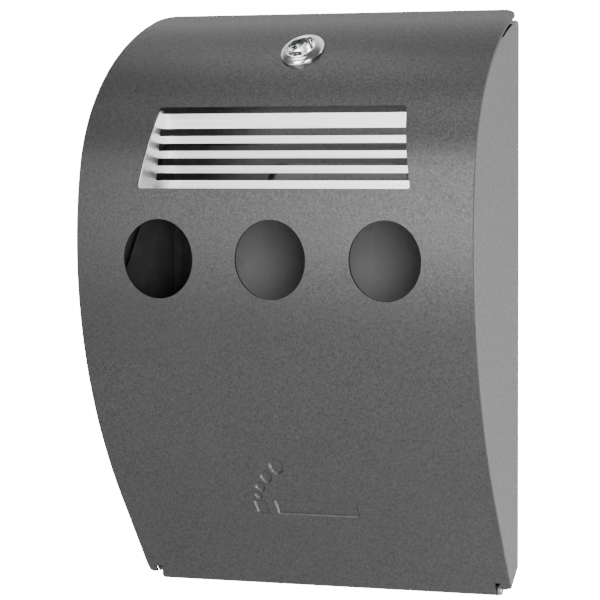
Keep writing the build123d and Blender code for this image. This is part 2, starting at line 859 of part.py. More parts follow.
with BuildPart() as cam_screw:
    with BuildSketch(lock_plane(cam_seat + cam_thickness + cam_washer_thickness)):
        Circle(cam_screw_head)
    extrude(amount=-cam_screw_head_height)
    with BuildSketch(lock_plane(lock_body_length - cam_screw_grip)):
        Circle(cam_screw_radius)
    extrude(amount=-(cam_screw_grip + cam_gap + cam_thickness + cam_washer_thickness))
    with BuildSketch(lock_plane(cam_seat + cam_thickness + cam_washer_thickness + cam_screw_head_height)):
        Rectangle(3 * cam_screw_head, cross_slot)
        Rectangle(cross_slot, 3 * cam_screw_head)
        Circle(cross_reach, mode=Mode.INTERSECT)
    extrude(amount=cross_slot, both=True, mode=Mode.SUBTRACT)
cam_screw.part.label = "cam_screw"
export_step(cam_screw.part, "parts/cam_screw.step")

# ---------------------------------------------------------------- ash liner
def liner_section(inset, top_of_front, top_of_back):
    """Side outline of the liner, drawn in by inset; its top edge slopes down to the front."""
    skin = liner_front_inset + inset
    low = liner_floor_z + inset
    with BuildSketch(Plane.YZ) as section:
        with BuildLine():
            skin_line(skin, low, top_of_front)
            Polyline(
                yz(skin_depth(top_of_front, skin), top_of_front),
                yz(liner_back_depth + liner_back_edge, top_of_back),
                yz(liner_back_depth + inset, top_of_back),
                yz(liner_back_depth + inset, low),
                yz(skin_depth(low, skin), low),
            )
        make_face()
    return section.sketch


liner_front_depth = skin_depth(liner_front_top_z, liner_front_inset)
above_liner = liner_back_top_z + far
with BuildPart() as liner_wrap:
    extrude(liner_section(0, liner_front_top_z, liner_back_top_z), amount=liner_half, both=True)
    extrude(
        liner_section(liner_sheet, liner_front_top_z + wall_pad, liner_back_top_z + wall_pad),
        amount=far,
        both=True,
        mode=Mode.SUBTRACT,
    )
    # the wrap is back, floor and front: nothing of it above the front's edge but the back
    add(
        across(
            [
                (liner_back_depth + liner_sheet, above_liner),
                (liner_back_depth + liner_sheet, liner_front_top_z),
                (liner_front_depth + liner_sheet, liner_front_top_z),
                (liner_front_depth + liner_sheet, above_liner),
            ]
        ),
        mode=Mode.SUBTRACT,
    )
    # finger slot to lift it by
    with BuildSketch(Plane.XZ.offset(liner_back_depth + wall_pad)):
        with Locations((0, grip_z)):
            SlotOverall(grip_width, grip_height)
    extrude(amount=-2 * wall_pad, mode=Mode.SUBTRACT)
liner_wrap.part.label = "liner_wrap"
export_step(liner_wrap.part, "parts/liner_wrap.step")


def liner_end(side):
    """End plate of the liner, with flanges folded in against the back and the front."""
    flange_x = side * (liner_half - liner_lip / 2)
    end_low = liner_floor_z + liner_sheet
    with BuildPart() as end_flanges:
        with Locations((0, -liner_back_depth - 1.5 * liner_sheet, (end_low + liner_back_top_z) / 2)):
            Box(2 * far, liner_sheet, liner_back_top_z - end_low)
        add(
            skin_layer(
                liner_front_inset + liner_sheet,
                liner_front_inset + 2 * liner_sheet,
                end_low,
                liner_front_top_z,
                far,
            )
        )
        with Locations((flange_x, 0, 0)):
            Box(liner_lip, 2 * far, 4 * far, mode=Mode.INTERSECT)
    with BuildPart() as end:
        extrude(liner_section(liner_sheet, liner_front_top_z, liner_back_top_z), amount=far, both=True)
        with Locations((side * (liner_half - liner_sheet / 2), 0, 0)):
            Box(liner_sheet, 2 * far, 4 * far, mode=Mode.INTERSECT)
        add(end_flanges.part)
    return end.part


with BuildPart() as liner_end_left:
    add(liner_end(-1))
liner_end_left.part.label = "liner_end_left"
export_step(liner_end_left.part, "parts/liner_end_left.step")

with BuildPart() as liner_end_right:
    add(liner_end(1))
liner_end_right.part.label = "liner_end_right"
export_step(liner_end_right.part, "parts/liner_end_right.step")
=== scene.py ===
import json
import math

import bpy
from bpy.props import FloatProperty, FloatVectorProperty, IntProperty, PointerProperty
from mathutils import Matrix, Vector


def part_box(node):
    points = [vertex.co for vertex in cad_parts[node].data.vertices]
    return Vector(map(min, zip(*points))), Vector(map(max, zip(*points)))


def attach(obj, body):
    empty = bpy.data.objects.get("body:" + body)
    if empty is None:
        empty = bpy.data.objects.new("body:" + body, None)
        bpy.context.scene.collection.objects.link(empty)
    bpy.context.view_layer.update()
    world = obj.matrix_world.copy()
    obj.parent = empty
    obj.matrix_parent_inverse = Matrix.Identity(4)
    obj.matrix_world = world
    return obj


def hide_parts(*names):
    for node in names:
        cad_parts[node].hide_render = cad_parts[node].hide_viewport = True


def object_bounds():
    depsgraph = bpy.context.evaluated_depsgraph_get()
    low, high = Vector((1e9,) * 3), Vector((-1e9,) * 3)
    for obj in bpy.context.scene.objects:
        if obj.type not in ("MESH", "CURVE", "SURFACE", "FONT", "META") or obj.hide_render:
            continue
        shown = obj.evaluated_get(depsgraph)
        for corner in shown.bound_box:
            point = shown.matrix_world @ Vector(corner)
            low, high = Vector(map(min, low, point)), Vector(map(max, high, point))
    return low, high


bl_info = {
    "name": "Wall Ash Bin",
    "version": (1, 0, 0),
    "blender": (4, 5, 0),
    "location": "View3D > Sidebar > Ash Bin",
    "description": "Builds a wall ash bin's curved cover, lock, fixings and finishes, and a stage",
    "category": "Object",
}

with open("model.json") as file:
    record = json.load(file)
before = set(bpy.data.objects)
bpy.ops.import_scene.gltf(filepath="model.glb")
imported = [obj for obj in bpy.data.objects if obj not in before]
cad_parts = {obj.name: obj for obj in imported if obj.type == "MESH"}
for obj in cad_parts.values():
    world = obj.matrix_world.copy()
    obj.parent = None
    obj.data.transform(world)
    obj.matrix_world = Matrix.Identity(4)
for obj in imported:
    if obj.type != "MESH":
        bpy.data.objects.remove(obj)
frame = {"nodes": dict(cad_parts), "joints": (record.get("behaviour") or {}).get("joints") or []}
CAD_BOX = [list(corner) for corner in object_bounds()]
MM = 0.001
HAIR = 1e-6   # m, two places closer than this are the same

# the lock's axis leaves the cover square to its face
LOCK_JOINT = next(joint for joint in frame["joints"] if joint["name"] == "lock_turn")
LOCK_ORIGIN = Vector(LOCK_JOINT["pos_m"])
LOCK_AXIS = Vector(LOCK_JOINT["axis"]).normalized()


# ---------------------------------------------------------------- settings
class FinishSettings(bpy.types.PropertyGroup):
    cover_grey: FloatVectorProperty(
        name="Cover grey", description="Powder coat of the curved cover", subtype="COLOR",
        size=3, min=0, max=1, default=(0.045, 0.045, 0.045))
    # the housing's powder coat grey with painted light added: it is set lighter than the cover's grey to give
    # the side panels a lit look
    housing_grey_with_painted_light: FloatVectorProperty(
        name="Housing grey", description="Powder coat of the side panels and back", subtype="COLOR",
        size=3, min=0, max=1, default=(0.115, 0.115, 0.115))
    coat_grain: FloatProperty(
        name="Coat grain", description="Size of the flakes in the powder coat", subtype="DISTANCE",
        unit="LENGTH", default=0.0006)
    stainless_grey: FloatVectorProperty(
        name="Stainless", description="Brushed stainless of the stub grille", subtype="COLOR",
        size=3, min=0, max=1, default=(1.0, 1.0, 1.0))
    chrome_grey: FloatVectorProperty(
        name="Chrome", description="Polished chrome of the lock", subtype="COLOR",
        size=3, min=0, max=1, default=(0.709, 0.718, 0.727))
    zinc_grey: FloatVectorProperty(
        name="Zinc", description="Zinc plated nuts, washers and cam", subtype="COLOR",
        size=3, min=0, max=1, default=(0.42, 0.43, 0.44))
    # painted shade: the liner's galvanised grey is set far darker than bare zinc, so the inside seen through the
    # mouths and window reads dim
    galvanised_grey_painted_shade: FloatVectorProperty(
        name="Galvanised", description="Galvanised sheet of the ash liner", subtype="COLOR",
        size=3, min=0, max=1, default=(0.07, 0.0705, 0.071))


class CoverSettings(bpy.types.PropertyGroup):
    sheet: FloatProperty(name="Sheet", description="Thickness of the cover", subtype="DISTANCE",
                         unit="LENGTH", default=0.0012)
    foot_depth: FloatProperty(name="Foot depth", description="From the wall to the cover's lower edge",
                              subtype="DISTANCE", unit="LENGTH", default=0.01665)
    foot_height: FloatProperty(name="Foot height", description="Lower edge above the middle of the wall screws",
                               subtype="DISTANCE", unit="LENGTH", default=-0.145)
    foot_rise: FloatProperty(name="Foot rise", description="Length of the straight lower part",
                             subtype="DISTANCE", unit="LENGTH", default=0.046)
    foot_lean: FloatProperty(name="Foot lean", description="How far the lower part leans out",
                             subtype="ANGLE", unit="ROTATION", default=math.radians(30))
    belly_radius: FloatProperty(name="Belly", description="Radius of the big curve", subtype="DISTANCE",
                                unit="LENGTH", default=0.260)
    belly_end: FloatProperty(name="Belly end", description="Lean where the big curve ends", subtype="ANGLE",
                             unit="ROTATION", default=math.radians(-8))
    shoulder_end: FloatProperty(name="Shoulder end", description="Lean of the top strip", subtype="ANGLE",
                                unit="ROTATION", default=math.radians(-67))
    brow_length: FloatProperty(name="Brow", description="Length of the straight top strip",
                               subtype="DISTANCE", unit="LENGTH", default=0.0127)
    brow_corner: FloatProperty(name="Brow corner", description="Radius of the two upper corners",
                               subtype="DISTANCE", unit="LENGTH", default=0.0085)
    foot_corner: FloatProperty(name="Foot corner", description="Radius of the two lower corners",
                               subtype="DISTANCE", unit="LENGTH", default=0.0025)
    flare: FloatProperty(name="Flare", description="Sideways growth for each metre of depth", default=0.135)
    mouth_radius: FloatProperty(name="Mouth", description="Radius of the three mouths", subtype="DISTANCE",
                                unit="LENGTH", default=0.0196)
    mouth_spacing: FloatProperty(name="Mouth spacing", description="Between the middles of the mouths",
                                 subtype="DISTANCE", unit="LENGTH", default=0.063)
    mouth_height: FloatProperty(name="Mouth height", description="Above the middle of the wall screws",
                                subtype="DISTANCE", unit="LENGTH", default=0.0158)
    window_low: FloatProperty(name="Window bottom", description="Height of its lower edge",
                              subtype="DISTANCE", unit="LENGTH", default=0.0505)
    window_high: FloatProperty(name="Window top", description="Height of its upper edge", subtype="DISTANCE",
                               unit="LENGTH", default=0.0905)
    window_half_low: FloatProperty(name="Window half width, bottom", description="Half of its lower edge",
                                   subtype="DISTANCE", unit="LENGTH", default=0.076)
    window_half_high: FloatProperty(name="Window half width, top", description="Half of its upper edge",
                                    subtype="DISTANCE", unit="LENGTH", default=0.0688)
    window_corner: FloatProperty(name="Window corner", description="Radius of its corners",
                                 subtype="DISTANCE", unit="LENGTH", default=0.0016)
    rod_clearance: FloatProperty(name="Rod clearance", description="Between the hinge rod and the curl",
                                 subtype="DISTANCE", unit="LENGTH", default=0.00005)
    curl_turn: FloatProperty(name="Curl", description="How far the curl goes round the hinge rod",
                             subtype="ANGLE", unit="ROTATION", default=math.radians(285))
    notch_width: FloatProperty(name="Notch width", description="Clearance beside each hinge lug",
                               subtype="DISTANCE", unit="LENGTH", default=0.0034)
    notch_height: FloatProperty(name="Notch height", description="Height of that clearance, both ways",
                                subtype="DISTANCE", unit="LENGTH", default=0.0064)
    lock_hole: FloatProperty(name="Lock hole", description="Radius of the hole for the lock",
                             subtype="DISTANCE", unit="LENGTH", default=0.00915)
    press_depth: FloatProperty(name="Pressing", description="Depth of the pressed figures",
                               subtype="DISTANCE", unit="LENGTH", default=0.0009)
    press_wall: FloatProperty(name="Pressing wall", description="Width of the walls round the figures",
                              subtype="DISTANCE", unit="LENGTH", default=0.0009)
    columns: IntProperty(name="Columns", description="Faces across the cover", default=92, min=8)
    row_height: FloatProperty(name="Row height", description="Height of the faces up the cover",
                              subtype="DISTANCE", unit="LENGTH", default=0.0022)


class LockSettings(bpy.types.PropertyGroup):
    stud_root: FloatProperty(
        name="Stud root", description="From a grille washer out to where its stud is welded",
        subtype="DISTANCE", unit="LENGTH", default=0.0011)
    body_clear: FloatProperty(
        name="Lock body", description="Radius left clear round the lock's body", subtype="DISTANCE",
        unit="LENGTH", default=0.0092)
    hinge_lug: FloatProperty(
        name="Hinge lug", description="Thickness of a hinge lug with its gap", subtype="DISTANCE",
        unit="LENGTH", default=0.0013)
    shoulder_radius: FloatProperty(
        name="Shoulder", description="Radius of the cover where the lock sits", subtype="DISTANCE",
        unit="LENGTH", default=0.092)
    lock_nut_across: FloatProperty(
        name="Lock nut", description="Across the flats of the lock's nut", subtype="DISTANCE",
        unit="LENGTH", default=0.022)
    lock_nut_height: FloatProperty(
        name="Lock nut height", description="Thickness of the lock's nut", subtype="DISTANCE",
        unit="LENGTH", default=0.005)


class StageSettings(bpy.types.PropertyGroup):
    azimuth: FloatProperty(
        name="Azimuth", description="Turn of the camera to the right of the cover", subtype="ANGLE",
        unit="ROTATION", default=math.radians(28.785))
    elevation: FloatProperty(
        name="Elevation", description="Height of the camera above the level", subtype="ANGLE",
        unit="ROTATION", default=math.radians(1.779))
    distance: FloatProperty(
        name="Distance", description="From the camera to the bin", subtype="DISTANCE",
        unit="LENGTH", default=2.0528)
    lens: FloatProperty(name="Lens", description="Focal length in millimetres", default=248.4)
    aim_shift: FloatVectorProperty(
        name="Aim", description="Where the camera looks, from the middle of the bin", subtype="TRANSLATION",
        unit="LENGTH", size=3, default=(-0.00751, 0.00724, 0.00032))
    floor_drop: FloatProperty(
        name="Floor", description="Height of the bin above the floor", subtype="DISTANCE",
        unit="LENGTH", default=0.30)
    floor_size: FloatProperty(
        name="Floor size", description="Side of the square floor", subtype="DISTANCE",
        unit="LENGTH", default=2.4)
    room_front: FloatProperty(
        name="Room light, front", description="Strength of the room's light in front of the bin",
        default=0.16, min=0)
    room_back: FloatProperty(
        name="Room light, back", description="Strength of the room's light behind the bin",
        default=1.45, min=0)


# ---------------------------------------------------------------- node groups
def new_group(name, inputs):
    """A shader node group with these inputs and a colour, roughness and height, and its two end nodes."""
    group = bpy.data.node_groups.new(name, "ShaderNodeTree")
    for label, value in inputs.items():
        kind = "NodeSocketFloat" if isinstance(value, float) else "NodeSocketColor"
        group.interface.new_socket(label, in_out="INPUT", socket_type=kind).default_value = value
    for label, kind in (("Color", "NodeSocketColor"), ("Roughness", "NodeSocketFloat"),
                        ("Height", "NodeSocketFloat")):
        group.interface.new_socket(label, in_out="OUTPUT", socket_type=kind)
    return group, group.nodes.new("NodeGroupInput"), group.nodes.new("NodeGroupOutput")


def add_node(tree, kind, settings=None, **sockets):
    """A node with its settings made, its unlinked sockets set and its linked ones joined."""
    node = tree.nodes.new(kind)
    for key, value in (settings or {}).items():
        setattr(node, key, value)
    for key, value in sockets.items():
        socket = node.inputs[key.replace("_", " ")]
        if isinstance(value, bpy.types.NodeSocket):
            tree.links.new(value, socket)
        else:
            socket.default_value = value
    return node


def maths(tree, operation, *values):
    """The result of a Math node on numbers and sockets."""
    node = tree.nodes.new("ShaderNodeMath")
    node.operation = operation
    for socket, value in zip(node.inputs, values):
        if isinstance(value, bpy.types.NodeSocket):
            tree.links.new(value, socket)
        else:
            socket.default_value = value
    return node.outputs[0]


def blend_of(tree, main, other, share):
    """Two patterns added, the other one with its share."""
    return maths(tree, "MULTIPLY_ADD", other, share, maths(tree, "MULTIPLY", main, 1 - share))


def put_out(group, start, end, tone, height, roughening, change):
    """The colour that a tone picks between dark and light, the changed roughness, and the height."""
    colour = add_node(group, "ShaderNodeMix", {"data_type": "RGBA"}, Factor=tone)
    group.links.new(start.outputs["Dark"], colour.inputs[6])
    group.links.new(start.outputs["Light"], colour.inputs[7])
    rough = maths(group, "MULTIPLY_ADD", roughening, change, start.outputs["Roughness"])
    for label, value in (("Color", colour.outputs[2]), ("Roughness", rough), ("Height", height)):
        group.links.new(value, end.inputs[label])
    return group


def noise(tree, place, scale, detail, roughness=0.5):
    """A noise pattern's mask."""
    return add_node(tree, "ShaderNodeTexNoise", Vector=place, Scale=scale, Detail=detail,
                    Roughness=roughness).outputs["Fac"]


def stretched(tree, mask, low, high):
    """A mask with more contrast: low becomes 0 and high becomes 1."""
    node = add_node(tree, "ShaderNodeMapRange", {"clamp": True}, Value=mask, From_Min=low, From_Max=high)
    return node.outputs[0]


def powder_group():
    """Fine speckle of a textured powder coat, with soft clouding and an orange-peel surface."""
    group, start, end = new_group("powder_coat_grain", {
        "Dark": (0.07, 0.07, 0.07, 1), "Light": (0.13, 0.13, 0.13, 1), "Grain Size": 0.0009,
        "Roughness": 0.45})
    place = add_node(group, "ShaderNodeTexCoord").outputs["Object"]
    scale = maths(group, "DIVIDE", 1.0, start.outputs["Grain Size"])
    fine = noise(group, place, scale, 2.0, 0.6)
    coarse = noise(group, place, maths(group, "MULTIPLY", scale, 0.38), 1.0)
    cloud = noise(group, place, 16.0, 3.0)
    speckle = blend_of(group, fine, coarse, 0.25)
    spread = stretched(group, speckle, 0.34, 0.66)
    return put_out(group, start, end, blend_of(group, spread, cloud, 0.16), speckle, spread, -0.12)


def brushed_group():
    """Long fine brush lines along X in a rolled sheet."""
    group, start, end = new_group("brushed_sheet", {
        "Dark": (0.5, 0.5, 0.5, 1), "Light": (0.8, 0.8, 0.8, 1), "Roughness": 0.25})
    place = add_node(group, "ShaderNodeTexCoord").outputs["Object"]
    drawn_out = add_node(group, "ShaderNodeMapping", Vector=place, Scale=(6.0, 900.0, 900.0)).outputs[0]
    lines = noise(group, drawn_out, 1.0, 3.0, 0.7)
    tone = blend_of(group, stretched(group, lines, 0.3, 0.7), noise(group, place, 40.0, 2.0), 0.25)
    return put_out(group, start, end, tone, lines, tone, 0.15)


def plated_group():
    """Crystal patches of a zinc layer, from a coarse spangle to a fine mottle."""
    group, start, end = new_group("zinc_layer", {
        "Dark": (0.25, 0.26, 0.27, 1), "Light": (0.42, 0.43, 0.44, 1), "Patch Size": 0.006,
        "Roughness": 0.35})
    place = add_node(group, "ShaderNodeTexCoord").outputs["Object"]
    scale = maths(group, "DIVIDE", 1.0, start.outputs["Patch Size"])
    patches = add_node(group, "ShaderNodeTexVoronoi", Vector=place, Scale=scale).outputs["Color"]
    grey = add_node(group, "ShaderNodeRGBToBW", Color=patches).outputs[0]
    haze = noise(group, place, 120.0, 3.0)
    tone = blend_of(group, grey, haze, 0.4)
    return put_out(group, start, end, tone, haze, tone, 0.18)


GROUP_MAKERS = {"powder_coat_grain": powder_group, "brushed_sheet": brushed_group, "zinc_layer": plated_group}

# each finish: its group, the setting with its colour, dark and light shade, grain or patch size (or the
# setting that holds it), roughness, metallic, bump strength, bump distance and clear coat
FINISHES = {
    "cover_powder_coat": ("powder_coat_grain", "cover_grey", 0.55, 1.6, "coat_grain", 0.46, 0.72, 0.4,
                          0.00012, 0.05),
    # the housing coat: its own grey plus painted light, lighter than the cover's copy of the same coat
    "housing_powder_coat": ("powder_coat_grain", "housing_grey_with_painted_light", 0.72, 1.3, "coat_grain", 0.50, 0.5, 0.25,
                            0.00012, 0.05),
    "brushed_stainless": ("brushed_sheet", "stainless_grey", 0.75, 1.15, None, 0.30, 1.0, 0.12, 0.0001, 0),
    "polished_chrome": ("zinc_layer", "chrome_grey", 0.875, 1.128, 0.004, 0.08, 1.0, 0.02, 0.0001, 0),
    "zinc_plate": ("zinc_layer", "zinc_grey", 0.8, 1.25, 0.0012, 0.28, 1.0, 0.08, 0.0001, 0),
    # the liner's galvanised sheet: its very dark grey is painted shade for the inside of the bin
    "galvanised_sheet": ("zinc_layer", "galvanised_grey_painted_shade", 0.7, 1.3, 0.007, 0.5, 0.3, 0.1, 0.0002, 0),
}
SIZE_SOCKETS = {"powder_coat_grain": "Grain Size", "zinc_layer": "Patch Size"}
COAT_ROUGHNESS = 0.3


def finish_named(name):
    """The material of that name, made the first time it is wanted."""
    made = bpy.data.materials.get(name)
    if made:
        return made
    wanted = bpy.context.scene.ash_bin_finish
    group, colour, low, high, size, roughness, metallic, bump, bump_distance, coat = FINISHES[name]
    material = bpy.data.materials.new(name)
    material.use_nodes = True
    tree = material.node_tree
    shader = tree.nodes["Principled BSDF"]
    source = tree.nodes.new("ShaderNodeGroup")
    source.node_tree = bpy.data.node_groups.get(group) or GROUP_MAKERS[group]()
    grey = getattr(wanted, colour)
    source.inputs["Dark"].default_value = [part * low for part in grey] + [1]
    source.inputs["Light"].default_value = [min(1, part * high) for part in grey] + [1]
    source.inputs["Roughness"].default_value = roughness
    if size:
        size = getattr(wanted, size) if isinstance(size, str) else size
        source.inputs[SIZE_SOCKETS[group]].default_value = size
    tree.links.new(source.outputs["Color"], shader.inputs["Base Color"])
    tree.links.new(source.outputs["Roughness"], shader.inputs["Roughness"])
    shader.inputs["Metallic"].default_value = metallic
    shader.inputs["Coat Weight"].default_value = coat
    shader.inputs["Coat Roughness"].default_value = COAT_ROUGHNESS
    relief = add_node(tree, "ShaderNodeBump", Strength=bump, Distance=bump_distance,
                      Height=source.outputs["Height"])
    tree.links.new(relief.outputs["Normal"], shader.inputs["Normal"])
    return material


def paint(piece, name):
    """Give a piece one finish in all of its material slots."""
    material = finish_named(name)
    if not piece.data.materials:
        piece.data.materials.append(material)
    for slot in piece.material_slots:
        slot.link = "OBJECT"
        slot.material = material


def soften(node, width, angle=40):
    """Join a sheet's loose corners and round its cut edges a little."""
    piece = frame["nodes"][node]
    weld = piece.modifiers.new("join", "WELD")
    weld.merge_threshold = 0.000005
    edge = piece.modifiers.new("rounded_edges", "BEVEL")
    edge.width = width
    edge.segments = 2
    edge.limit_method = "ANGLE"
    edge.angle_limit = math.radians(angle)
    edge.harden_normals = True


# ---------------------------------------------------------------- modelling
def start_piece(name):
    """Name the primitive that was just added and open it for editing, all selected."""
    piece = bpy.context.active_object
    piece.name = piece.data.name = name
    bpy.ops.object.mode_set(mode="EDIT")
    bpy.ops.mesh.select_all(action="SELECT")
    return piece


def pick(piece):
    """Select this piece only and make it the active one."""
    bpy.ops.object.select_all(action="DESELECT")
    piece.select_set(True)
    bpy.context.view_layer.objects.active = piece


def cylinder(radius, depth, location=(0, 0, 0), rotation=(0, 0, 0), sides=96):
    """A cylinder to cut with."""
    bpy.ops.object.select_all(action="DESELECT")
    bpy.ops.mesh.primitive_cylinder_add(vertices=sides, radius=radius, depth=depth, location=location,
                                        rotation=rotation)
    return bpy.context.active_object


def block(location, scale):
    """A block to cut with."""
    bpy.ops.object.select_all(action="DESELECT")
    bpy.ops.mesh.primitive_cube_add(size=1, location=location, scale=scale)
    return bpy.context.active_object


def end_piece(piece, doubles=HAIR):
    """Merge what meets, turn the faces outwards and leave edit mode."""
    bpy.ops.mesh.select_all(action="SELECT")
    bpy.ops.mesh.remove_doubles(threshold=doubles)
    bpy.ops.mesh.normals_make_consistent(inside=False)
    bpy.ops.object.mode_set(mode="OBJECT")
    return piece


POLE = 0.01   # mm, the radius that closes to a point on the axis


def turned(name, section, sides=96):
    """A turned piece about Z. The section's (radius, height) points in mm go once round and close."""
    bpy.ops.object.select_all(action="DESELECT")
    radius, height = section[0]
    bpy.ops.mesh.primitive_circle_add(vertices=sides, radius=radius * MM, location=(0, 0, 0))
    piece = start_piece(name)
    bpy.ops.transform.translate(value=(0, 0, height * MM))
    for new_radius, new_height in section[1:] + section[:1]:
        bpy.ops.mesh.extrude_edges_move()
        grow = new_radius / radius
        bpy.ops.transform.resize(value=(grow, grow, 1), center_override=(0, 0, height * MM))
        bpy.ops.transform.translate(value=(0, 0, (new_height - height) * MM))
        radius, height = new_radius, new_height
    closed = min(r for r, h in section) <= POLE
    return end_piece(piece, 2.5 * POLE * MM if closed else HAIR)


def thread(crest, root, start, pitch, turns):
    """The section of a thread as rings in mm: a crest and a root for each turn."""
    rings = []
    for i in range(turns):
        rings += [(crest, start + i * pitch), (root, start + (i + 0.5) * pitch)]
    return rings


def placed(piece, origin, out, across=Vector((1, 0, 0))):
    """Stand a piece made about Z on its real axis and put its place into its mesh."""
    third = out.cross(across).normalized()
    turn = Matrix((across, third, out)).transposed().to_4x4()
    piece.matrix_world = Matrix.Translation(origin) @ turn
    pick(piece)
    bpy.ops.object.transform_apply(location=True, rotation=True, scale=True)
    return piece


def combine(piece, tool, operation):
    """Cut, join or trim a piece with another, which is used up."""
    pick(piece)
    cut = piece.modifiers.new("cut", "BOOLEAN")
    cut.operation = operation
    cut.object = tool
    cut.solver = "EXACT"
    bpy.ops.object.modifier_apply(modifier=cut.name)
    bpy.data.objects.remove(tool)
    return piece


def round_edges(piece, width, angle=35):
    """Bevel the sharp edges for good, by this many mm, and shade the rest smooth."""
    pick(piece)
    if width:
        edge = piece.modifiers.new("rounded_edges", "BEVEL")
        edge.width = width * MM
        edge.segments = 2
        edge.limit_method = "ANGLE"
        edge.angle_limit = math.radians(angle)
        bpy.ops.object.modifier_apply(modifier=edge.name)
    bpy.ops.object.shade_smooth_by_angle(angle=math.radians(angle))
    return piece


def duplicate(piece, name):
    """A copy with its own mesh."""
    pick(piece)
    bpy.ops.object.duplicate()
    copy = bpy.context.active_object
    copy.name = copy.data.name = name
    return copy


NUT_CHAMFER = 0.62   # height of the corner chamfer as a share of what the corners stand out
NUT_SINK = 0.12      # countersink of the bore as a share of its radius


def hex_nut(name, across, height, bore):
    """A six-sided nut in mm with both its ends turned to a chamfer, and a countersunk bore of that radius."""
    corner = across / math.sqrt(3)
    cylinder(corner * MM, height * MM, (0, 0, height * MM / 2), sides=6)
    nut = start_piece(name)
    end_piece(nut)
    bpy.ops.object.transform_apply(location=True)
    drop = (corner - across / 2) * NUT_CHAMFER
    flat = across / 2 * 0.97
    wide = corner * 1.02
    drum = turned(name + "_drum", [(POLE, 0), (flat, 0), (wide, drop), (wide, height - drop), (flat, height),
                                   (POLE, height)])
    combine(nut, drum, "INTERSECT")
    sink = bore * NUT_SINK
    mouth = bore + sink
    hole = turned(name + "_bore", [(POLE, -1), (mouth + 1, -1), (mouth, 0), (bore, sink),
                                   (bore, height - sink), (mouth, height), (mouth + 1, height + 1),
                                   (POLE, height + 1)])
    return combine(nut, hole, "DIFFERENCE")


# ---------------------------------------------------------------- operators
def heading(lean):
    """Directions in (depth, height): straight out of the skin, and up along it."""
    return Vector((math.cos(lean), -math.sin(lean))), Vector((math.sin(lean), math.cos(lean)))


BROW_ROWS = 3
CORNER_ROWS = 12


def skin_rows(size):
    """(depth, height, half width, lean) of each row up the cover's outer face."""
    outs, ups = zip(*(heading(a) for a in (size.foot_lean, size.belly_end, size.shoulder_end)))
    foot = Vector((size.foot_depth, size.foot_height))
    belly_start = foot + ups[0] * size.foot_rise
    belly = belly_start - outs[0] * size.belly_radius
    shoulder_start = belly + outs[1] * size.belly_radius
    shoulder_radius = bpy.context.scene.ash_bin_lock.shoulder_radius
    shoulder = shoulder_start - outs[1] * shoulder_radius
    brow_start = shoulder + outs[2] * shoulder_radius
    wall_half = CAD_BOX[1][0] - size.flare * (belly[0] + size.belly_radius)

    stations = []
    straight = round(size.foot_rise / size.row_height)
    stations += [(foot + ups[0] * size.foot_rise * i / straight, size.foot_lean) for i in range(straight)]
    for centre, radius, start, end in ((belly, size.belly_radius, size.foot_lean, size.belly_end),
                                       (shoulder, shoulder_radius, size.belly_end, size.shoulder_end)):
        steps = round(radius * (start - end) / size.row_height)
        for i in range(steps):
            lean = start + (end - start) * i / steps
            stations.append((centre + heading(lean)[0] * radius, lean))
    # close rows near the top, where the corners round off
    corner_start = size.brow_length - size.brow_corner
    runs = [corner_start * i / BROW_ROWS for i in range(BROW_ROWS)]
    runs += [corner_start + size.brow_corner * math.sin(math.radians(90 * i / CORNER_ROWS))
             for i in range(CORNER_ROWS + 1)]
    stations += [(brow_start + ups[2] * run, size.shoulder_end) for run in runs]
    rows = []
    for i, (point, lean) in enumerate(stations):
        into = runs[i - len(stations)] - corner_start if i >= len(stations) - len(runs) else 0
        tuck = size.brow_corner - math.sqrt(max(0, size.brow_corner**2 - max(0, into) ** 2))
        rows.append((point[0], point[1], wall_half + size.flare * point[0] - tuck, lean))
    return rows


# the pressed figures: left, right, bottom and top of the two bars; across, height and radius of the puffs
CIGARETTE = (-0.0160, 0.0293, -0.1106, -0.1041)
EMBER = (-0.0278, -0.0216, -0.1105, -0.1045)
PUFFS = ((-0.0246, -0.1015, 0.0017), (-0.0223, -0.0971, 0.0022), (-0.0175, -0.0919, 0.0028),
         (-0.0105, -0.0864, 0.0036))


def inside_figures(x, z):
    """How far inside the pressed figures a point of the cover is; negative outside."""
    reach = [radius - math.hypot(x - px, z - pz) for px, pz, radius in PUFFS]
    reach += [min(x - x0, x1 - x, z - z0, z1 - z) for x0, x1, z0, z1 in (CIGARETTE, EMBER)]
    return max(reach)


def select_vertices(piece, wanted):
    """Select the vertices whose place passes the test, and nothing else."""
    bpy.ops.mesh.select_all(action="DESELECT")
    bpy.ops.mesh.select_mode(type="VERT")
    bpy.ops.object.mode_set(mode="OBJECT")
    for vertex in piece.data.vertices:
        vertex.select = wanted(vertex.co)
    bpy.ops.object.mode_set(mode="EDIT")


def move_selected(depth_and_height, x_grow=1.0):
    """Move what is selected outwards and up, then widen it about the middle."""
    bpy.ops.transform.translate(value=(0, -depth_and_height[0], depth_and_height[1]))
    if x_grow != 1.0:
        bpy.ops.transform.resize(value=(x_grow, 1, 1), center_override=(0, 0, 0))


